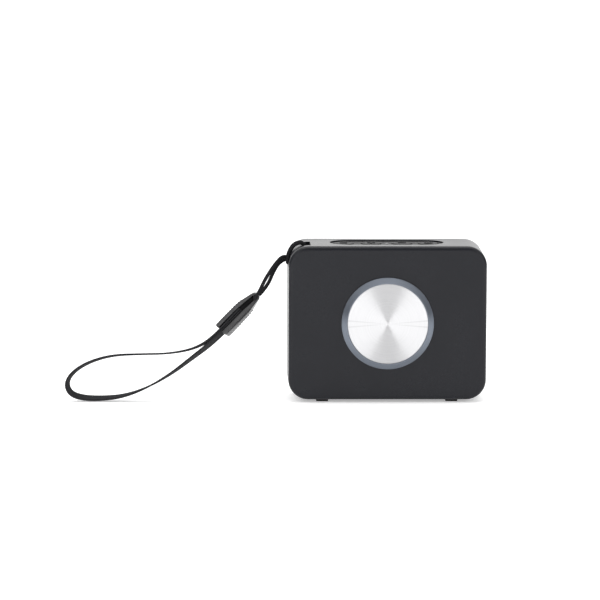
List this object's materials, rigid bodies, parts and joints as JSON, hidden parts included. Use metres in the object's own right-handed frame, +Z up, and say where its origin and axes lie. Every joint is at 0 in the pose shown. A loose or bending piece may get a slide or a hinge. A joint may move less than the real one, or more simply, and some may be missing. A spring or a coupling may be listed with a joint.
{
  "type": "shower speaker",
  "caption": "Palm-sized rounded rectangular loudspeaker with a bevelled ring round a spun metal disc, keys on its top and a wrist strap hitched to one corner.",
  "frame": {"origin": "middle of the footprint of the speaker without its strap, on the plane that the feet stand on", "axes": "+X to the right seen from the front, +Y from the front to the back, +Z up"},
  "size_m": [0.1811, 0.0328, 0.0683],
  "materials": {
    "soft_touch_shell": "soft-touch charcoal coating, fine matt texture",
    "key_rubber": "matt silicone",
    "foot_rubber": "matt black rubber",
    "spun_aluminium": "spun face with fine concentric grooves",
    "ring_anodised": "satin blue-grey",
    "screw_steel": "black zinc",
    "zinc_steel": "zinc plated",
    "ferrite": "sintered, dark grey",
    "surround_rubber": "matt",
    "spider_cloth": "resin-treated cloth",
    "cone_paper": "pressed fibre",
    "coil_copper": "enamelled copper winding",
    "board_laminate": "green glass-fibre laminate",
    "chip_black": "moulded epoxy",
    "shield_tin": "tinned steel",
    "plunger_white": "moulded",
    "light_clear": "clear, moulded",
    "battery_wrap": "foil pouch",
    "battery_foam": "foam",
    "ribbon_film": "polyimide film",
    "lead_insulation": "vinyl insulation",
    "cord_braid": "round braid, black",
    "webbing_nylon": "flat woven tape, dark grey",
    "sleeve_leather": "coated, stitched along the edges"
  },
  "bodies": {
    "housing": {"amplifier_chip": "chip_black", "basket_screws": "screw_steel", "battery_cell": "battery_wrap", "battery_leads": "lead_insulation", "battery_pad": "battery_foam", "bevel_ring": "ring_anodised", "board_screws": "screw_steel", "cover_screws": "screw_steel", "cover_seal": "foot_rubber", "door_pin": "screw_steel", "driver_basket": "zinc_steel", "driver_gasket": "foot_rubber", "flex_ribbon": "ribbon_film", "foot_back_left": "foot_rubber", "foot_back_right": "foot_rubber", "foot_front_left": "foot_rubber", "foot_front_right": "foot_rubber", "front_housing": "soft_touch_shell", "key_board": "board_laminate", "key_board_screws": "screw_steel", "keypad_mat": "key_rubber", "light_pipe": "light_clear", "main_board": "board_laminate", "radio_module": "shield_tin", "rear_cover": "soft_touch_shell", "ring_magnet": "ferrite", "smoothing_capacitor": "shield_tin", "speaker_leads": "lead_insulation", "spider": "spider_cloth", "status_led": "light_clear", "strap_cord": "cord_braid", "strap_sleeve": "sleeve_leather", "strap_webbing": "webbing_nylon", "surround": "surround_rubber", "switch_minus": "chip_black", "switch_play": "chip_black", "switch_plus": "chip_black", "switch_power": "chip_black", "terminal_strip": "board_laminate", "top_plate": "zinc_steel", "usb_socket": "shield_tin", "yoke": "zinc_steel"},
    "diaphragm": {"diaphragm_disc": "spun_aluminium", "cone": "cone_paper", "voice_coil": "coil_copper"},
    "port_door": {"port_door": "soft_touch_shell", "port_plug": "foot_rubber"},
    "button_play": {"button_play": "key_rubber", "plunger_play": "plunger_white"},
    "button_plus": {"button_plus": "key_rubber", "plunger_plus": "plunger_white"},
    "button_minus": {"button_minus": "key_rubber", "plunger_minus": "plunger_white"},
    "button_power": {"button_power": "key_rubber", "plunger_power": "plunger_white"}
  },
  "joints": [
    {"name": "diaphragm_travel", "type": "slide", "parent": "housing", "child": "diaphragm", "axis": [0, -1, 0], "range_m": [-0.0005, 0.0005], "stiffness_N_per_m": 600, "deforming": ["surround", "spider"]},
    {"name": "play_press", "type": "slide", "parent": "housing", "child": "button_play", "axis": [0, 0, -1], "range_m": [0, 0.0005], "stiffness_N_per_m": 600, "springref_m": -0.0005},
    {"name": "plus_press", "type": "slide", "parent": "housing", "child": "button_plus", "axis": [0, 0, -1], "range_m": [0, 0.0005], "stiffness_N_per_m": 600, "springref_m": -0.0005},
    {"name": "minus_press", "type": "slide", "parent": "housing", "child": "button_minus", "axis": [0, 0, -1], "range_m": [0, 0.0005], "stiffness_N_per_m": 600, "springref_m": -0.0005},
    {"name": "power_press", "type": "slide", "parent": "housing", "child": "button_power", "axis": [0, 0, -1], "range_m": [0, 0.0005], "stiffness_N_per_m": 600, "springref_m": -0.0005},
    {"name": "port_door_hinge", "type": "hinge", "parent": "housing", "child": "port_door", "pos_m": [0.0418, 0.0113, 0.03], "axis": [0, 0, 1], "range_deg": [0, 100]}
  ]
}
